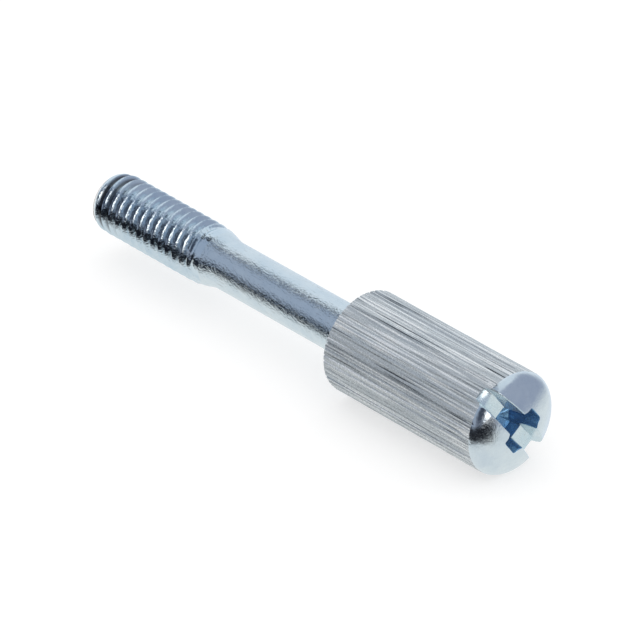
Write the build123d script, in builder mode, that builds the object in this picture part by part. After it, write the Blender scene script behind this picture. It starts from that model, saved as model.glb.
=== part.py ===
"""A long-headed knurled captive screw, headed and rolled from one piece of wire.

Frame: the origin is the centre of the head's bearing face. +X runs from the thread to
the driver end, and +Z is up. The screw lies on its head, as it rests when put down.
"""

import os
from math import pi, radians, tan

from build123d import *

# Rolled thread, in mm. It is a row of rings with the real profile and pitch, without the helix's lead.
thread_diameter = 5.95
thread_pitch = 1.0
thread_depth = 0.6
thread_root_width = 0.2
thread_angle = 60
thread_length = 13.8
thread_run_out = 0.4
tip_chamfer_length = 0.9
tip_chamfer_depth = 0.3
tip_dish_radius = 2.2
tip_dish_depth = 0.3

# Shank, and the cone that joins it to the thread
shank_diameter = 4.8
shank_length = 18.2
cone_length = 2.4
cone_round = 1.5
neck_fillet = 0.25

# Head: a knurled cylinder, a rounded edge and a low crown
head_diameter = 10.0
knurl_length = 18.6
edge_length = 1.25
edge_width = 0.95
crown_height = 1.0

# Straight knurl: V grooves, as many as fit round the head at this pitch.
knurl_pitch = 0.6
knurl_depth = 0.2
knurl_angle = 90

# Driver slot: drafted walls, and a floor that rolls off at both ends
slot_floor_width = 1.5
slot_rim_width = 2.2
slot_depth = 2.2
slot_end_roll = 1.3
slot_end_drop = 0.6

# Cross recess, sunk through the slot's floor, with its size taken at the crown's top
cross_span = 3.9
cross_wing_width = 1.8
cross_depth = 3.3
cross_draft = 6
cross_corner_round = 0.95
cross_point_length = 0.4

# The slot lies across the head at this angle from level, turned about +X
recess_turn = -53.5

# How far a cutter runs past the surface that it cuts
beyond = 1.0

# Worked out from the sizes above
thread_radius = thread_diameter / 2
shank_radius = shank_diameter / 2
head_radius = head_diameter / 2
thread_end = -(shank_length + cone_length)
tip = thread_end - thread_length
thread_turns = int((thread_length - thread_run_out) / thread_pitch)
knurl_teeth = round(pi * head_diameter / knurl_pitch)
crown_start = knurl_length + edge_length
crown_rim_radius = head_radius - edge_width
head_length = crown_start + crown_height
above_head = head_length + beyond

os.makedirs("parts", exist_ok=True)


def slot_half_width(x):
    """Half the slot's width at a place along the axis, on its drafted walls."""
    draft = (slot_rim_width - slot_floor_width) / slot_depth
    return (slot_floor_width + draft * (x - head_length + slot_depth)) / 2


# Driver recess, made as the punch that forms it, with the slot lying along Y
with BuildPart() as recess_punch:
    slot_floor = head_length - slot_depth
    slot_lowest = slot_floor - slot_end_drop

    # Section across the slot, narrow at the floor and wider at the rim
    with BuildSketch(Plane.XZ):
        Polygon(
            (slot_lowest, slot_half_width(slot_lowest)),
            (above_head, slot_half_width(above_head)),
            (above_head, -slot_half_width(above_head)),
            (slot_lowest, -slot_half_width(slot_lowest)),
            align=None,
        )
    extrude(amount=head_radius + beyond, both=True)

    # Section along the slot, a flat floor with a rolled-off end
    with BuildSketch(Plane.XY):
        with BuildLine():
            floor = Line((slot_floor, 0), (slot_floor, head_radius - slot_end_roll))
            roll_off = TangentArc(floor @ 1, (slot_lowest, head_radius), tangent=(0, 1))
            Polyline(
                roll_off @ 1,
                (slot_lowest, head_radius + beyond),
                (above_head, head_radius + beyond),
                (above_head, 0),
                floor @ 0,
            )
        make_face()
        mirror(about=Plane.XZ)
    extrude(amount=head_radius, both=True, mode=Mode.INTERSECT)

    # Cross, tapering as it goes in, with a short point at its foot
    growth = 2 * beyond * tan(radians(cross_draft))
    with BuildSketch(Plane(origin=(above_head, 0, 0), x_dir=(0, 1, 0), z_dir=(-1, 0, 0))) as cross:
        Rectangle(cross_span + growth, cross_wing_width + growth)
        Rectangle(cross_wing_width + growth, cross_span + growth)
        inner_corners = cross.vertices().group_by(SortBy.DISTANCE)[0]
        fillet(inner_corners, cross_corner_round)
    extrude(amount=cross_depth + beyond, taper=cross_draft)

    cross_foot = head_length - cross_depth
    foot_radius = cross_wing_width / 2 - cross_depth * tan(radians(cross_draft))
    with BuildSketch(Plane.XY):
        Polygon(
            (cross_foot - cross_point_length, 0),
            (cross_foot, foot_radius),
            (cross_foot + foot_radius, foot_radius),
            (cross_foot + foot_radius, 0),
            align=None,
        )
    revolve(axis=Axis.X)


with BuildPart() as screw:
    # Turned form: crown, head, shank, cone and thread, and a tip dished as rolling leaves it
    with BuildSketch(Plane.XY):
        with BuildLine():
            crown = TangentArc((head_length, 0), (crown_start, crown_rim_radius), tangent=(0, 1))
            edge = TangentArc(crown @ 1, (knurl_length, head_radius), tangent=crown % 1)
            Polyline(
                edge @ 1,
                (0, head_radius),
                (0, shank_radius),
                (-shank_length, shank_radius),
                (thread_end, thread_radius),
                (tip + tip_chamfer_length, thread_radius),
                (tip, thread_radius - tip_chamfer_depth),
                (tip, tip_dish_radius),
                (tip + tip_dish_depth, 0),
                crown @ 0,
            )
        make_face()
    revolve(axis=Axis.X)

    rings = screw.edges().filter_by(GeomType.CIRCLE)
    neck = rings.filter_by_position(Axis.X, -0.01, 0.01).sort_by(SortBy.RADIUS)[0]
    fillet(neck, neck_fillet)
    cone_end = screw.edges().filter_by(GeomType.CIRCLE).sort_by(lambda ring: abs(ring.center().X - thread_end))[0]
    fillet(cone_end, cone_round)

    # Thread: grooves one pitch apart, the first one open through the tip's chamfer
    root_half = thread_root_width / 2
    mouth_half = root_half + (thread_depth + beyond) * tan(radians(thread_angle / 2))
    with BuildSketch(Plane.XY):
        with Locations(*[(tip + (turn + 0.5) * thread_pitch, thread_radius) for turn in range(thread_turns)]):
            Polygon(
                (-root_half, -thread_depth),
                (root_half, -thread_depth),
                (mouth_half, beyond),
                (-mouth_half, beyond),
                align=None,
            )
    revolve(axis=Axis.X, mode=Mode.SUBTRACT)

    # Straight knurl, whose grooves run out where the rounded edge drops below them
    groove_foot = head_radius - knurl_depth
    groove_half_width = (knurl_depth + beyond) * tan(radians(knurl_angle / 2))
    with BuildSketch(Plane.YZ.offset(-beyond)):
        with PolarLocations(0, knurl_teeth):
            Polygon(
                (groove_foot, 0),
                (head_radius + beyond, groove_half_width),
                (head_radius + beyond, -groove_half_width),
                align=None,
            )
    extrude(amount=above_head + beyond, mode=Mode.SUBTRACT)

    add(recess_punch.part, rotation=(recess_turn, 0, 0), mode=Mode.SUBTRACT)


screw.part.label = "screw"
export_step(screw.part, "parts/screw.step")
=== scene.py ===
import math

import bmesh
import bpy
import numpy as np
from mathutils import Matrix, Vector


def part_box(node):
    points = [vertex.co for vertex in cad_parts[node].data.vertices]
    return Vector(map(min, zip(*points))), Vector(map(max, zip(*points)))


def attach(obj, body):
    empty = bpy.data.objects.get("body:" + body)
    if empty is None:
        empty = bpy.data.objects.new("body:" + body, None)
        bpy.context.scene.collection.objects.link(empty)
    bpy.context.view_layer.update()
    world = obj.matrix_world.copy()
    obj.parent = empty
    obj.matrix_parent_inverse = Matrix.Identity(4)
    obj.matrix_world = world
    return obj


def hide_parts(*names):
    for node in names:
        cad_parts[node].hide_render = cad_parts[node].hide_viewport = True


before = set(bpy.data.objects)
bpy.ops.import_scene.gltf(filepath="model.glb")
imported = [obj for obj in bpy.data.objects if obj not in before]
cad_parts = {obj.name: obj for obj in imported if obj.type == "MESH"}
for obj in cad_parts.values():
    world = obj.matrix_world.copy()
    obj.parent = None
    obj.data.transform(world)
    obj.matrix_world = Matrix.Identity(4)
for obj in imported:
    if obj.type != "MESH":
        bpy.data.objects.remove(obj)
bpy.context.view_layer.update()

# Sizes are in millimetres, along +X from the thread's tip to the driver end
MM = 0.001

screw_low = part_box("screw")[0]
tip = screw_low.x / MM

# Head, as in the part's own source
head_radius = 5.0
knurl_length = 18.6
edge_length = 1.25
edge_width = 0.95
crown_height = 1.0
crown_rim_x = knurl_length + edge_length
crown_rim_radius = head_radius - edge_width
head_length = crown_rim_x + crown_height
crown_radius = (crown_rim_radius ** 2 + crown_height ** 2) / (2 * crown_height)
rear_edge_break = 0.03
knurl_teeth = 52
knurl_depth = 0.2

# Shank, cone and thread
thread_radius = 2.975
shank_radius = 2.4
shank_length = 18.2
cone_length = 2.4
neck_fillet = 0.25
thread_end = -(shank_length + cone_length)
thread_stop = thread_end + 1.0
tip_chamfer_length = 0.9
tip_chamfer_depth = 0.3
tip_radius = thread_radius - tip_chamfer_depth
tip_dish_radius = 2.2
tip_dish_depth = 0.3
thread_pitch = 1.0
thread_depth = 0.6

# Driver recess
slot_floor_width = 1.5
slot_rim_width = 2.2
slot_depth = 2.2
slot_end_roll = 1.3
slot_end_drop = 0.6
slot_corner_round = 0.18
cross_span = 3.9
cross_wing_width = 1.8
cross_depth = 3.3
cross_draft = math.radians(6)
cross_corner_round = 0.95
cross_tip_round = 0.16
cross_point_length = 0.4
lip_round = 0.12
recess_turn = math.radians(-53.5)
above_head = 1.6


# Mesh helpers

def build_piece(name, points_mm, faces):
    """A mesh object from points in millimetres and faces as rows of corners."""
    mesh = bpy.data.meshes.new(name)
    mesh.from_pydata((points_mm * MM).tolist(), [], faces)
    piece = bpy.data.objects.new(name, mesh)
    bpy.context.scene.collection.objects.link(piece)
    return piece


def tube_faces(rings, columns):
    """Quads between closed rings of points that are numbered ring after ring."""
    ring, column = np.meshgrid(np.arange(rings - 1), np.arange(columns), indexing="ij")
    onward = (column + 1) % columns
    corners = (ring * columns + column, ring * columns + onward,
               (ring + 1) * columns + onward, (ring + 1) * columns + column)
    return np.stack(corners, axis=-1).reshape(-1, 4)


def smooth_step(low, high, value):
    """0 below low, 1 above high and 3t^2 - 2t^3 between them, where t is the share of the way."""
    t = np.clip((value - low) / (high - low), 0, 1)
    return t * t * (3 - 2 * t)


def wander(value, seed, longest):
    """A smooth repeatable wander of about -1 to 1: a sum of sines, each shorter, with drawn phases."""
    drawn = np.random.default_rng(seed)
    total = np.zeros_like(np.asarray(value, float))
    for step in range(6):
        wavelength = longest * 0.62 ** step
        total = total + 0.72 ** step * np.sin(2 * np.pi * (value / wavelength + drawn.random()))
    return total / 2.2


# Knurl: every groove is drawn once, with its own place, depth and crest
columns_per_tooth = 6
columns = knurl_teeth * columns_per_tooth
groove_half_share = 0.17
burr_share = 0.24
tooth_share = np.array([-burr_share, -0.09, 0.0, 0.09, burr_share, 0.5])
column_tooth = np.repeat(np.arange(knurl_teeth), columns_per_tooth)
column_share = np.tile(tooth_share, knurl_teeth)
drawn = np.random.default_rng(7)
groove_shift = drawn.uniform(-0.09, 0.09, knurl_teeth)
groove_depth = knurl_depth * drawn.uniform(0.12, 0.6, knurl_teeth)
crest_wear = drawn.uniform(0.006, 0.05, knurl_teeth)
# The darkest grooves of the near side, in degrees from +Y towards +Z
deep_groove_angles = np.array([72.9, 79.7, 158.6, 200.1])
groove_depth[np.round(deep_groove_angles / 360 * knurl_teeth).astype(int)] = knurl_depth
shifted = groove_shift[column_tooth] * (column_share < 0.45)
theta = (column_tooth + column_share + shifted) * 2 * math.pi / knurl_teeth


def knurled_radius(x):
    """The knurl's radius at places x along the head (rows) and at every column.

    A groove's foot lies its own depth under the crests, and its sides rise straight to a low
    burr on each side. The depth and the crests wander slowly along the head, and the grooves
    fade out before the rounded edge.
    """
    burr = 0.014
    fade = 1 - 0.8 * smooth_step(knurl_length - 1.2, knurl_length, x)[:, None]
    depth_along = np.stack([wander(x, 100 + tooth, 14) for tooth in range(knurl_teeth)], axis=1)
    crest_along = np.stack([wander(x, 300 + tooth, 9) for tooth in range(knurl_teeth)], axis=1)
    depth = groove_depth * (1 + 0.3 * depth_along)
    crest = head_radius - crest_wear * (0.6 + 0.4 * crest_along)
    away = np.minimum(np.abs(column_share) / groove_half_share, 1)
    raised = burr * (np.abs(column_share) == burr_share) - burr
    return crest[:, column_tooth] + raised - depth[:, column_tooth] * (1 - away) * fade


# Thread: phase 0 is the middle of a crest
row_phases = np.arange(10) / 10


def thread_drop(phase):
    """How far under its crests a rolled thread lies at a phase.

    A cosine of the thread's depth, whose steepest place leans 28 degrees from square to the
    axis, as a 60-degree thread's flanks do. Its crests and roots are round, as rolling leaves them.
    """
    return thread_depth * (1 - np.cos(2 * np.pi * phase)) / 2


def threaded_radius(x, angle):
    """The threaded end's radius: crests, less the thread's drop, and nowhere past the tip's chamfer.

    The crests are worn unevenly and crumple towards the shoulder, where the grooves die out.
    """
    phase = (x - tip) / thread_pitch - angle / (2 * math.pi)
    share_in = np.clip((x - tip) / tip_chamfer_length, 0, 1)
    chamfer = thread_radius - tip_chamfer_depth * (1 - share_in) ** 1.4
    run_out = 1 - smooth_step(thread_end - 1.1, thread_end + 0.7, x)
    start = smooth_step(tip - 0.3, tip + 1.0, x)
    crumple = 0.035 * smooth_step(thread_end - 1.6, thread_end - 0.4, x)
    crumple = crumple * (1 - smooth_step(thread_end + 0.5, thread_stop, x))
    crest = thread_radius - 0.01 * run_out * (1 + wander(x * 0.7 + angle * 2, 40, 3.0))
    crest = crest - crumple * (1 + wander(x * 1.7 + angle * 1.5, 41, 1.6) * wander(angle * 3, 42, 2.2))
    return np.minimum(crest - thread_drop(phase) * run_out * (0.75 + 0.25 * start), chamfer)


def shoulder_radius(x):
    """The cone between thread and shank, with both its ends rounded off."""
    share = smooth_step(thread_end - 0.5, thread_end + cone_length + 0.1, x)
    return thread_radius + (shank_radius - thread_radius) * share


def edge_points(count):
    """Points (x, r) of the rounded edge, from the knurl's end to the crown's rim.

    A quadratic curve whose tangents are the knurl's line and the crown's slope at its rim.
    """
    lean = math.asin(crown_rim_radius / crown_radius)
    corner = np.array([crown_rim_x - edge_width * math.tan(lean), head_radius])
    start, end = np.array([knurl_length, head_radius]), np.array([crown_rim_x, crown_rim_radius])
    t = np.linspace(0, 1, count)[:, None]
    return (1 - t) ** 2 * start + 2 * t * (1 - t) * corner + t ** 2 * end


def crown_x(radius):
    """Where the crown lies along X at a radius: a circular arc that is level at the apex."""
    inside = np.minimum(radius, crown_radius * 0.98)
    return head_length - crown_radius + np.sqrt(crown_radius ** 2 - inside ** 2)


def make_body():
    """The turned piece as rings round X, from a pole at the tip to a pole at the crown's apex.

    In the thread the rows follow the helix: a row's x grows by one pitch in a turn and is held
    between the two ends. So a full turn along a row ends on column 0 of the row one pitch on.
    """
    rows_x, rows_r = [], []

    def add_ring(x, r):
        rows_x.append(np.full(columns, float(x)))
        rows_r.append(np.broadcast_to(np.asarray(r, float), columns))

    # End face of the tip, dished in its middle
    for r in np.append(np.linspace(0.5, tip_dish_radius, 5), (2.4, tip_radius)):
        add_ring(tip + tip_dish_depth * max(0, 1 - (r / tip_dish_radius) ** 2), r)

    # Thread, in rows along the helix
    helix_from = len(rows_x)
    turns = math.ceil((thread_stop - tip) / thread_pitch) + 1
    starts = (np.arange(turns)[:, None] + row_phases).ravel() * thread_pitch + tip - thread_pitch
    x = np.clip(starts[:, None] + theta / (2 * math.pi) * thread_pitch, tip, thread_stop)
    rows_x += list(x)
    rows_r += list(threaded_radius(x, theta) + shoulder_radius(x) - thread_radius)
    helix_to = len(rows_x)

    # Shoulder and shank
    shank_from = -shank_length + 0.3
    for x in np.linspace(thread_stop, shank_from, 10)[1:]:
        add_ring(x, shoulder_radius(x))
    for x in np.linspace(shank_from, -neck_fillet, 14)[1:]:
        add_ring(x, shank_radius)

    # Neck fillet, bearing face and its broken edge
    for turn in np.linspace(0, math.pi / 2, 5)[1:]:
        add_ring(-neck_fillet * (1 - math.sin(turn)), shank_radius + neck_fillet * (1 - math.cos(turn)))
    knurl_x = np.linspace(rear_edge_break, knurl_length, 50)
    knurl_r = knurled_radius(knurl_x)
    for r in (3.3, 4.2, 4.6):
        add_ring(0, r)
    add_ring(0, knurl_r[0] - rear_edge_break)

    # Knurled side, then the rounded edge where its grooves run out, then the crown
    for x, r in zip(knurl_x, knurl_r):
        add_ring(x, r)
    for x, r in edge_points(12)[1:]:
        add_ring(x, np.minimum(r, knurl_r[-1]))
    for r in np.linspace(crown_rim_radius, 0.25, 12)[1:]:
        add_ring(crown_x(r), r)

    x, r = np.array(rows_x), np.array(rows_r)
    rows = len(x)
    points = np.stack([x, r * np.cos(theta), r * np.sin(theta)], axis=-1).reshape(-1, 3)
    poles = [[tip + tip_dish_depth, 0, 0], [head_length, 0, 0]]

    def corner(row, column):
        turned = column == columns
        helical = turned & (row >= helix_from) & (row < helix_to)
        row = np.where(helical, np.minimum(row + len(row_phases), helix_to - 1), row)
        return row * columns + np.where(turned, 0, column)

    row, column = np.meshgrid(np.arange(rows - 1), np.arange(columns), indexing="ij")
    quads = np.stack([corner(row, column), corner(row, column + 1),
                      corner(row + 1, column + 1), corner(row + 1, column)], axis=-1).reshape(-1, 4)
    ring = np.arange(columns)
    onward = (ring + 1) % columns
    last_ring = (rows - 1) * columns
    tip_fan = np.stack([np.full(columns, rows * columns), onward, ring], axis=-1)
    crown_fan = np.stack([np.full(columns, rows * columns + 1), last_ring + ring, last_ring + onward], axis=-1)
    faces = [*quads.tolist(), *tip_fan.tolist(), *crown_fan.tolist()]
    return build_piece("screw_body", np.vstack([points, poles]), faces)


# Driver recess, made as the two cutters that form it, each a closed tube of rings

def turned_for_recess(x, along, across):
    """Points from places along the axis, along the slot and across it, turned as the slot lies."""
    cos, sin = math.cos(recess_turn), math.sin(recess_turn)
    return np.stack([x, along * cos - across * sin, along * sin + across * cos], axis=-1).reshape(-1, 3)


def capped_tube(name, points, rings, around):
    """A closed cutter from rings of points, with an n-gon on each end."""
    first = np.arange(around)
    ends = [first[::-1].tolist(), (first + (rings - 1) * around).tolist()]
    return build_piece(name, points, [*tube_faces(rings, around).tolist(), *ends])


def end_surface_x(radius):
    """The head's end along X at a radius: the crown, then the rounded edge, then the knurl's end."""
    edge = edge_points(24)[::-1]
    on_edge = np.interp(radius, edge[:, 1], edge[:, 0])
    return np.where(radius < crown_rim_radius, crown_x(radius), on_edge)


def slot_floor_x(along):
    """The slot's floor: level, then rolling off as an arc towards both ends."""
    roll_radius = (slot_end_roll ** 2 + slot_end_drop ** 2) / (2 * slot_end_drop)
    past = np.clip(np.abs(along) - (head_radius - slot_end_roll), 0, roll_radius * 0.9)
    return head_length - slot_depth - (roll_radius - np.sqrt(roll_radius ** 2 - past ** 2))


def make_slot_cutter():
    """The slot: at each place along it, a section with drafted walls, round corners and a rounded lip.

    The lip is a quarter round of lip_round that turns out of the wall where the wall meets the
    head's end, and fades where the slot runs out through the rounded edge.
    """
    end = head_radius + 1.2
    level = head_radius - slot_end_roll
    along = np.concatenate([-np.linspace(end, level, 16), np.linspace(-level, level, 23)[1:-1],
                            np.linspace(level, end, 16)])
    floor = slot_floor_x(along)
    draft = (slot_rim_width - slot_floor_width) / slot_depth

    def half_width(x):
        return (slot_floor_width + draft * (x - head_length + slot_depth)) / 2

    rim_r = np.hypot(along, slot_rim_width / 2)
    rim = end_surface_x(rim_r)
    lip = lip_round * (1 - 0.8 * smooth_step(crown_rim_radius, head_radius - 0.2, rim_r))
    rim = np.maximum(rim, floor + slot_corner_round + lip + 0.1)
    section = []
    for turn in np.radians((0, 30, 60, 81)):
        across = half_width(floor) - slot_corner_round * (1 - np.sin(turn))
        section.append((floor + slot_corner_round * (1 - np.cos(turn)), across))
    for share in (0.35, 0.7, 1.0):
        x = floor + slot_corner_round + (rim - lip - floor - slot_corner_round) * share
        section.append((x, half_width(x)))
    wall = half_width(rim - lip)
    for turn in np.radians((22, 45, 68)):
        section.append((rim - lip + lip * np.sin(turn), wall + lip * (1 - np.cos(turn))))
    section.append((rim + 0.25, wall + lip + 0.45))
    section.append((np.full_like(rim, head_length + above_head), wall + lip + 0.6))
    x = np.array([place for place, _ in section])
    across = np.array([width for _, width in section])
    ring_x = np.concatenate([x[::-1], x]).T
    ring_across = np.concatenate([-across[::-1], across]).T
    ring_along = np.broadcast_to(along[:, None], ring_x.shape)
    points = turned_for_recess(ring_x, ring_along, ring_across)
    return capped_tube("slot_cutter", points, *ring_x.shape)


def wing_outline(half_span, half_wing, inner_round, tip_round):
    """The cross's outline, anticlockwise: wings with rounded tips that join through inner rounds.

    One quarter is a quarter circle at a wing's tip, one the other way at the inner corner and one
    at the next wing's tip. The other quarters are the same, turned by a quarter at a time.
    """
    tip_turn = np.linspace(0, math.pi / 2, 6)
    inner_turn = np.linspace(0, math.pi / 2, 8)
    tip_long = half_span - tip_round * (1 - np.cos(tip_turn))
    tip_short = half_wing - tip_round * (1 - np.sin(tip_turn))
    inner = half_wing + inner_round
    along = np.concatenate([[half_span], tip_long, inner - inner_round * np.sin(inner_turn), tip_short[::-1]])
    across = np.concatenate([[0], tip_short, inner - inner_round * np.cos(inner_turn), tip_long[::-1]])
    return np.concatenate([np.stack(pair, axis=-1) for pair in
                           ((along, across), (-across, along), (-along, -across), (across, -along))])


def make_cross_cutter():
    """The cross: its outline shrinks with the draft as it goes down, and ends in a short point.

    Where it cuts the crown it has the same lip as the slot. Levels run from the foot upwards.
    """
    half_span, half_wing = cross_span / 2, cross_wing_width / 2
    foot = head_length - cross_depth
    rings_x, rings = [], []
    rim_outline = wing_outline(half_span, half_wing, cross_corner_round, cross_tip_round)
    rim = crown_x(np.hypot(*rim_outline.T))
    shrink = cross_depth * math.tan(cross_draft)
    deepest = wing_outline(half_span - shrink, half_wing - shrink, cross_corner_round, cross_tip_round)
    for share, dip in ((0.15, 1.0), (0.5, 0.55), (0.8, 0.2)):
        rings.append(deepest * share)
        rings_x.append(np.full(len(deepest), foot - cross_point_length * dip))
    for share in np.linspace(0, 1, 5):
        shrunk = shrink * (1 - share)
        rings.append(wing_outline(half_span - shrunk, half_wing - shrunk, cross_corner_round, cross_tip_round))
        rings_x.append(foot + (rim - lip_round - foot) * share)
    outward = np.roll(rim_outline, -1, axis=0) - np.roll(rim_outline, 1, axis=0)
    outward = np.stack([outward[:, 1], -outward[:, 0]], axis=-1)
    outward /= np.maximum(np.linalg.norm(outward, axis=1, keepdims=True), 1e-9)
    on_crown = smooth_step(slot_rim_width / 2 - 0.1, slot_rim_width / 2 + 0.15, np.abs(rim_outline[:, 1]))
    flare = outward * on_crown[:, None]
    for turn in np.radians((22, 45, 68)):
        rings.append(rim_outline + flare * lip_round * (1 - math.cos(turn)))
        rings_x.append(rim - lip_round + lip_round * math.sin(turn))
    rings.append(rim_outline + flare * (lip_round + 0.3))
    rings_x.append(rim + 0.2)
    rings.append(rim_outline + flare * (lip_round + 0.4))
    rings_x.append(np.full(len(rim), head_length + above_head * 0.8))
    x = np.array(rings_x)
    outline = np.array(rings)
    points = turned_for_recess(x, outline[:, :, 0], outline[:, :, 1])
    return capped_tube("cross_cutter", points, *x.shape)


def cut_recess(body, cutters):
    """Cuts the closed cutters from the body, and keeps the result as the body's own mesh."""
    shelf = bpy.data.collections.new("cutters")
    bpy.context.scene.collection.children.link(shelf)
    for cutter in cutters:
        bpy.context.scene.collection.objects.unlink(cutter)
        shelf.objects.link(cutter)
    cut = body.modifiers.new("recess", "BOOLEAN")
    cut.operation = "DIFFERENCE"
    cut.operand_type = "COLLECTION"
    cut.collection = shelf
    cut.solver = "EXACT"
    cut.material_mode = "TRANSFER"
    graph = bpy.context.evaluated_depsgraph_get()
    finished = bpy.data.meshes.new_from_object(body.evaluated_get(graph))
    body.modifiers.clear()
    body.data = finished
    for cutter in cutters:
        bpy.data.objects.remove(cutter)
    bpy.data.collections.remove(shelf)


def close_and_smooth(piece, sharp_degrees):
    """Merges points that coincide, drops the empty faces that leaves, and smooths all but sharp edges."""
    work = bmesh.new()
    work.from_mesh(piece.data)
    bmesh.ops.remove_doubles(work, verts=work.verts, dist=0.0004 * MM)
    bmesh.ops.dissolve_degenerate(work, edges=work.edges, dist=0.0004 * MM)
    work.to_mesh(piece.data)
    work.free()
    piece.data.shade_smooth()
    piece.data.set_sharp_from_angle(angle=math.radians(sharp_degrees))


# Materials

# Sizes of the finish's patterns. Real zinc's grain is near 0.05 mm, too fine to show at this
# distance, so each finish draws it coarser, at its own grain_mm. Streaks and scores are as wide
# as their size, and shrinking their place along the axis draws them out.
patch_mm = 2.2
streak_mm = 0.5
streak_shrink = 0.16
score_mm = 0.16
score_shrink = 0.014
grain_height_mm = 0.05

# A score is painted as shade and highlight: darkest in its foot, dimmed beside it, and left at full colour on
# its burr
painted_score_light_colours = [(0.29, "#4E545A"), (0.35, "#C6CBCF"), (0.55, "#CED2D5"), (0.6, "#FFFFFF")]

# Where the first turns' roots are darkened brown: the radii of the roots, and places along the axis from the
# tip
root_dark_radius, root_plain_radius = 2.6, 2.82
root_dark_from, root_dark_full, root_dark_fades, root_dark_ends = 0.32, 0.5, 1.4, 3.2


def srgb(code):
    """An sRGB hex colour as linear red, green, blue and alpha."""
    shares = [int(code[i:i + 2], 16) / 255 for i in (1, 3, 5)]
    return (*[s / 12.92 if s <= 0.04045 else ((s + 0.055) / 1.055) ** 2.4 for s in shares], 1.0)


def add_node(tree, kind, inputs=None, stops=None, **settings):
    """Adds a node with its settings. An input is a value or another node's output; stops colour a ramp."""
    node = tree.nodes.new(kind)
    for name, value in settings.items():
        setattr(node, name, value)
    for name, value in (inputs or {}).items():
        if isinstance(value, bpy.types.NodeSocket):
            tree.links.new(value, node.inputs[name])
        else:
            node.inputs[name].default_value = value
    for place, code in stops or ():
        colours = node.color_ramp.elements
        stop = colours.new(place) if place not in (0, 1) else colours[-1 if place else 0]
        stop.color = srgb(code)
    return node


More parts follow.
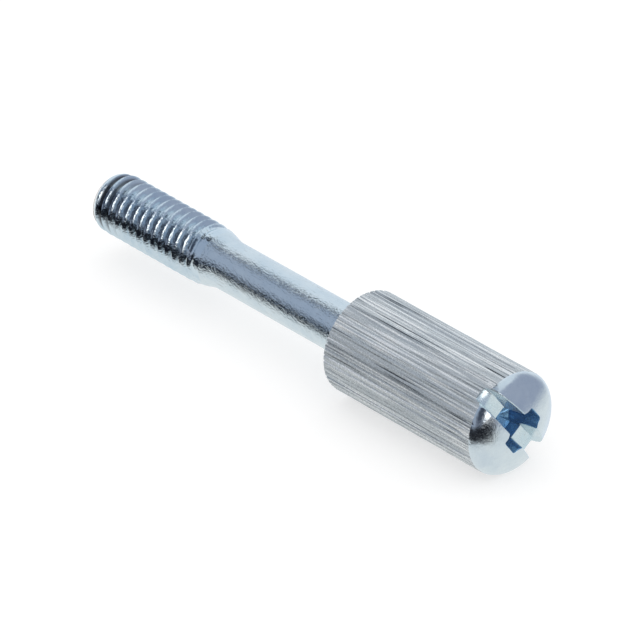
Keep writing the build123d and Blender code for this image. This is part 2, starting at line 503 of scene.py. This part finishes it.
def make_zinc(name, colours, roughness, peel, stretch=1.0, grain_mm=0.25, metal=1.0, painted_score_light=0.0,
              tip_root_dark=0.0):
    """Zinc on steel, with a thin blue passivate.

    The zinc follows the skin of the steel: an unevenness of about grain_mm that frays the edges
    of reflections, drawn out along the axis by stretch where the wire was drawn or rolled. Broad
    patches show where the passivate is thicker, and thin brown streaks where handling wore it.
    A share draws the knurling wheel's fine scores as painted shade and highlight: darkest in
    their feet, dimmed beside them and at full colour on their burrs. Another share darkens the first turns'
    roots brown.
    """
    material = bpy.data.materials.new(name)
    material.use_nodes = True
    tree = material.node_tree
    tree.nodes.clear()
    place = add_node(tree, "ShaderNodeTexCoord").outputs["Object"]

    # Broad patches of thicker and thinner passivate
    skin = add_node(tree, "ShaderNodeMapping", {
        "Vector": place, "Scale": (1 / stretch, 1, 1)}).outputs["Vector"]
    patches = add_node(tree, "ShaderNodeTexNoise", {
        "Vector": skin, "Scale": 1 / (patch_mm * MM), "Detail": 5.0, "Roughness": 0.62}).outputs["Fac"]
    colour = add_node(tree, "ShaderNodeValToRGB", {"Fac": patches}, stops=colours).outputs["Color"]

    # Thin brown streaks along the axis
    along = add_node(tree, "ShaderNodeMapping", {
        "Vector": place, "Scale": (streak_shrink, 1, 1)}).outputs["Vector"]
    streaks = add_node(tree, "ShaderNodeTexNoise", {
        "Vector": along, "Scale": 1 / (streak_mm * MM), "Detail": 3.0, "Roughness": 0.7}).outputs["Fac"]
    worn = add_node(tree, "ShaderNodeMapRange", {
        "Value": streaks, "From Min": 0.66, "From Max": 0.78, "To Max": 0.45}).outputs["Result"]
    colour = add_node(tree, "ShaderNodeMixRGB", {
        "Fac": worn, "Color1": colour, "Color2": srgb("#8F8078")}).outputs["Color"]

    # The knurling wheel's scores, nearly as long as the head, multiplied into the colour as painted shade and
    # highlight
    far_along = add_node(tree, "ShaderNodeMapping", {
        "Vector": place, "Scale": (score_shrink, 1, 1)}).outputs["Vector"]
    scores = add_node(tree, "ShaderNodeTexNoise", {
        "Vector": far_along, "Scale": 1 / (score_mm * MM), "Detail": 1.0, "Roughness": 0.6}).outputs["Fac"]
    score_shading = add_node(tree, "ShaderNodeValToRGB", {"Fac": scores}, stops=painted_score_light_colours).outputs["Color"]
    colour = add_node(tree, "ShaderNodeMixRGB", {"Fac": painted_score_light, "Color1": colour, "Color2": score_shading},
                      blend_type="MULTIPLY").outputs["Color"]

    # Brown darkening in the roots of the first turns, and none on the tip's end face
    apart = add_node(tree, "ShaderNodeSeparateXYZ", {"Vector": place}).outputs
    across = add_node(tree, "ShaderNodeCombineXYZ", {"Y": apart["Y"], "Z": apart["Z"]}).outputs["Vector"]
    radius = add_node(tree, "ShaderNodeVectorMath", {0: across}, operation="LENGTH").outputs["Value"]
    in_root = add_node(tree, "ShaderNodeMapRange", {
        "Value": radius, "From Min": root_plain_radius * MM, "From Max": root_dark_radius * MM,
        "To Max": tip_root_dark}).outputs["Result"]
    by_tip = add_node(tree, "ShaderNodeMapRange", {
        "Value": apart["X"], "From Min": (tip + root_dark_ends) * MM,
        "From Max": (tip + root_dark_fades) * MM}).outputs["Result"]
    past_face = add_node(tree, "ShaderNodeMapRange", {
        "Value": apart["X"], "From Min": (tip + root_dark_from) * MM,
        "From Max": (tip + root_dark_full) * MM}).outputs["Result"]
    in_turns = add_node(tree, "ShaderNodeMath", {0: by_tip, 1: past_face},
                        operation="MULTIPLY").outputs["Value"]
    root_dark = add_node(tree, "ShaderNodeMath", {0: in_root, 1: in_turns},
                    operation="MULTIPLY").outputs["Value"]
    colour = add_node(tree, "ShaderNodeMixRGB", {
        "Fac": root_dark, "Color1": colour, "Color2": srgb("#3B3230")}).outputs["Color"]

    # The skin's grain, in the gloss and in the surface
    grains = add_node(tree, "ShaderNodeTexNoise", {
        "Vector": skin, "Scale": 1 / (grain_mm * MM), "Detail": 2.0, "Roughness": 0.75}).outputs["Fac"]
    rough = add_node(tree, "ShaderNodeMapRange", {
        "Value": grains, "From Min": 0.3, "From Max": 0.7,
        "To Min": roughness[0], "To Max": roughness[1]}).outputs["Result"]
    bump = add_node(tree, "ShaderNodeBump", {
        "Height": grains, "Strength": peel, "Distance": grain_height_mm * MM}).outputs["Normal"]
    shader = add_node(tree, "ShaderNodeBsdfPrincipled", {
        "Base Color": colour, "Metallic": metal, "Roughness": rough, "Normal": bump}).outputs["BSDF"]
    add_node(tree, "ShaderNodeOutputMaterial", {"Surface": shader})
    return material


# Thread, rolled between dies: the smoothest and brightest
thread_zinc = make_zinc("rolled_zinc", [(0.25, "#C6D6E2"), (0.75, "#E4EBEE")], (0.05, 0.16), 0.7,
                        grain_mm=0.3, tip_root_dark=0.85)

# Shank, the wire as drawn: a fine skin that frays what it mirrors
shank_zinc = make_zinc("drawn_zinc", [(0.25, "#CBD8E1"), (0.75, "#E0E7EA")], (0.03, 0.12), 1.25,
                       stretch=1.3, grain_mm=0.22)

# Knurl, pressed by a wheel: sparkling, partly matt, and with painted shade and highlight in its fine scores
knurled_zinc = make_zinc("knurled_zinc", [(0.25, "#E6EBEF"), (0.75, "#F6F7F7")], (0.14, 0.36), 1.4,
                         stretch=1.6, grain_mm=0.16, metal=0.45, painted_score_light=1.0)

# Crown, struck by the heading punch: soft reflections
crown_zinc = make_zinc("struck_zinc", [(0.25, "#CFD9E2"), (0.75, "#E6ECEE")], (0.15, 0.24), 0.35,
                       grain_mm=0.5)

# Slot and cross, pressed by the recess punch: the passivate pools there; the cross's darker, deeper blue is
# partly that and partly painted shade and reflection of the deep cavity
slot_zinc = make_zinc("slot_zinc", [(0.25, "#CBE0EA"), (0.75, "#E9F1F2")], (0.16, 0.3), 0.25, metal=0.75)
cross_zinc_and_painted_shade = make_zinc("cross_zinc_and_painted_shade", [(0.25, "#5F8FBF"), (0.75, "#8FBBD9")], (0.16, 0.3), 0.4, metal=0.7)

# The piece, with one finish after another along the axis
smooth_under = 32
body = make_body()
slot_cutter = make_slot_cutter()
cross_cutter = make_cross_cutter()
for finish in (thread_zinc, shank_zinc, knurled_zinc, crown_zinc):
    body.data.materials.append(finish)
face_centres = np.empty(len(body.data.polygons) * 3)
body.data.polygons.foreach_get("center", face_centres)
face_x = face_centres.reshape(-1, 3)[:, 0] / MM
finish_ends = np.array([thread_stop, 0.01, knurl_length + 0.25])
finish_index = np.searchsorted(finish_ends, face_x).astype(np.int32)
body.data.polygons.foreach_set("material_index", finish_index)
slot_cutter.data.materials.append(slot_zinc)
cross_cutter.data.materials.append(cross_zinc_and_painted_shade)
close_and_smooth(body, smooth_under)
cut_recess(body, [slot_cutter, cross_cutter])
close_and_smooth(body, smooth_under)
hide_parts("screw")
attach(body, "root")

# Floor: matt white paper that the camera sees a little lighter than it is lit
reach = 0.6
floor_z = screw_low.z
paper_glow = 0.58
floor_mesh = bpy.data.meshes.new("floor")
floor_mesh.from_pydata([(-reach, -reach, floor_z), (reach, -reach, floor_z), (reach, reach, floor_z),
                        (-reach, reach, floor_z)], [], [(0, 1, 2, 3)])
floor = bpy.data.objects.new("floor", floor_mesh)
bpy.context.scene.collection.objects.link(floor)
floor.visible_glossy = False
paper = bpy.data.materials.new("white_paper")
paper.use_nodes = True
tree = paper.node_tree
tree.nodes.clear()
seen = add_node(tree, "ShaderNodeLightPath").outputs["Is Camera Ray"]
matte = add_node(tree, "ShaderNodeBsdfDiffuse", {"Color": srgb("#BCBCBC")}).outputs["BSDF"]
glow_strength = add_node(tree, "ShaderNodeMath", {0: seen, 1: paper_glow},
                         operation="MULTIPLY").outputs["Value"]
glow = add_node(tree, "ShaderNodeEmission", {"Strength": glow_strength}).outputs["Emission"]
both = add_node(tree, "ShaderNodeAddShader", {0: matte, 1: glow}).outputs["Shader"]
add_node(tree, "ShaderNodeOutputMaterial", {"Surface": both})
floor_mesh.materials.append(paper)

# Studio: the room that the metal mirrors
world = bpy.data.worlds.new("studio")
bpy.context.scene.world = world
world.use_nodes = True
tree = world.node_tree
tree.nodes.clear()
direction = add_node(tree, "ShaderNodeTexCoord").outputs["Generated"]
apart = add_node(tree, "ShaderNodeSeparateXYZ", {"Vector": direction}).outputs

# Behind the thread, bands by the angle round the screw's axis from the camera's side, positive over the top
camera_side = (0.634, -0.577, 0.515)
toward_camera = math.atan2(camera_side[2], -camera_side[1])
rear_bands = [(-180, "#EDF2F3"), (-72, "#EDF2F3"), (-66, "#1E232C"), (-36, "#1E232C"), (-30, "#AAB6C8"),
              (36, "#AAB6C8"), (40, "#1E232C"), (52, "#1E232C"), (56, "#E9F2FA"), (180, "#E9F2FA")]
forward = add_node(tree, "ShaderNodeMath", {0: apart["Y"], 1: -1.0}, operation="MULTIPLY").outputs["Value"]
around = add_node(tree, "ShaderNodeMath", {0: apart["Z"], 1: forward}, operation="ARCTAN2").outputs["Value"]
from_camera = add_node(tree, "ShaderNodeMath", {0: around, 1: toward_camera},
                       operation="SUBTRACT").outputs["Value"]
turned = add_node(tree, "ShaderNodeMath", {0: from_camera, 1: math.pi, 2: -math.pi},
                  operation="WRAP").outputs["Value"]
band_place = add_node(tree, "ShaderNodeMapRange", {
    "Value": turned, "From Min": -math.pi, "From Max": math.pi}).outputs["Result"]
rear = add_node(tree, "ShaderNodeValToRGB", {"Fac": band_place},
                stops=[((degrees + 180) / 360, code) for degrees, code in rear_bands]).outputs["Color"]

# Ahead of the crown, bands by height: the room on the camera's side, the paper sweep on the other
room_bands = [(-1, "#E8EEF0"), (-0.56, "#E8EEF0"), (-0.47, "#181B22"), (-0.05, "#181B22"), (0.03, "#A3ACBC"),
              (0.3, "#A3ACBC"), (0.5, "#9EACBE"), (1, "#9EACBE")]
sweep_bands = [(-1, "#EAF0F1"), (-0.42, "#EAF0F1"), (-0.34, "#DFE6E9"), (-0.2, "#A3ADC0"), (0.6, "#A3ADC0"),
               (0.74, "#E0EBF4"), (1, "#E0EBF4")]
height = add_node(tree, "ShaderNodeMapRange", {
    "Value": apart["Z"], "From Min": -1.0, "From Max": 1.0}).outputs["Result"]
room, sweep = [
    add_node(tree, "ShaderNodeValToRGB", {"Fac": height},
             stops=[((z + 1) / 2, code) for z, code in bands]).outputs["Color"]
    for bands in (room_bands, sweep_bands)
]
sweep_share = add_node(tree, "ShaderNodeMapRange", {"Value": apart["Y"], "From Min": -0.05, "From Max": 0.07},
                       interpolation_type="SMOOTHSTEP").outputs["Result"]
front = add_node(tree, "ShaderNodeMixRGB", {
    "Fac": sweep_share, "Color1": room, "Color2": sweep}).outputs["Color"]

# Round soft spots on that: the dark camera, and a small lamp. Each has a direction, the degrees at
# which it is gone and at which it is full, its share and its colour.
lamp_side = (0.956, -0.18, 0.23)
lamp_white = (2.2, 2.2, 2.2, 1.0)
for side, gone, full, share, colour in ((camera_side, 36, 20, 0.92, srgb("#2B3446")),
                                        (lamp_side, 17, 12, 1.0, lamp_white)):
    nearness = add_node(tree, "ShaderNodeVectorMath", {0: direction, 1: side},
                        operation="DOT_PRODUCT").outputs["Value"]
    spot = add_node(tree, "ShaderNodeMapRange", {
        "Value": nearness, "From Min": math.cos(math.radians(gone)), "From Max": math.cos(math.radians(full)),
        "To Max": share}, interpolation_type="SMOOTHSTEP").outputs["Result"]
    front = add_node(tree, "ShaderNodeMixRGB", {
        "Fac": spot, "Color1": front, "Color2": colour}).outputs["Color"]

front_share = add_node(tree, "ShaderNodeMapRange", {"Value": apart["X"], "From Min": -0.3, "From Max": 0.2},
                       interpolation_type="SMOOTHSTEP").outputs["Result"]
studio = add_node(tree, "ShaderNodeMixRGB", {
    "Fac": front_share, "Color1": rear, "Color2": front}).outputs["Color"]

# Metal mirrors the room; all else sees and is lit by plain white
white = (1.0, 1.0, 1.0, 1.0)
mirrored = add_node(tree, "ShaderNodeLightPath").outputs["Is Glossy Ray"]
seen = add_node(tree, "ShaderNodeMixRGB", {
    "Fac": mirrored, "Color1": white, "Color2": studio}).outputs["Color"]
light = add_node(tree, "ShaderNodeBackground", {"Color": seen, "Strength": 1.0}).outputs["Background"]
add_node(tree, "ShaderNodeOutputWorld", {"Surface": light})

# Camera, as the photograph was taken
camera_distance = 556
aim = Vector((-3.8, -1.9, 1.3)) * MM
view = Vector((-0.6336, 0.5774, -0.5149)).normalized()
lens = bpy.data.cameras.new("camera")
camera = bpy.data.objects.new("camera", lens)
bpy.context.scene.collection.objects.link(camera)
camera.location = aim - view * camera_distance * MM
camera.rotation_euler = view.to_track_quat("-Z", "Y").to_euler()
lens.lens = 347.0
lens.sensor_width = 36.0
lens.clip_start = 0.01
bpy.context.scene.camera = camera

bpy.context.scene.view_settings.view_transform = "Standard"
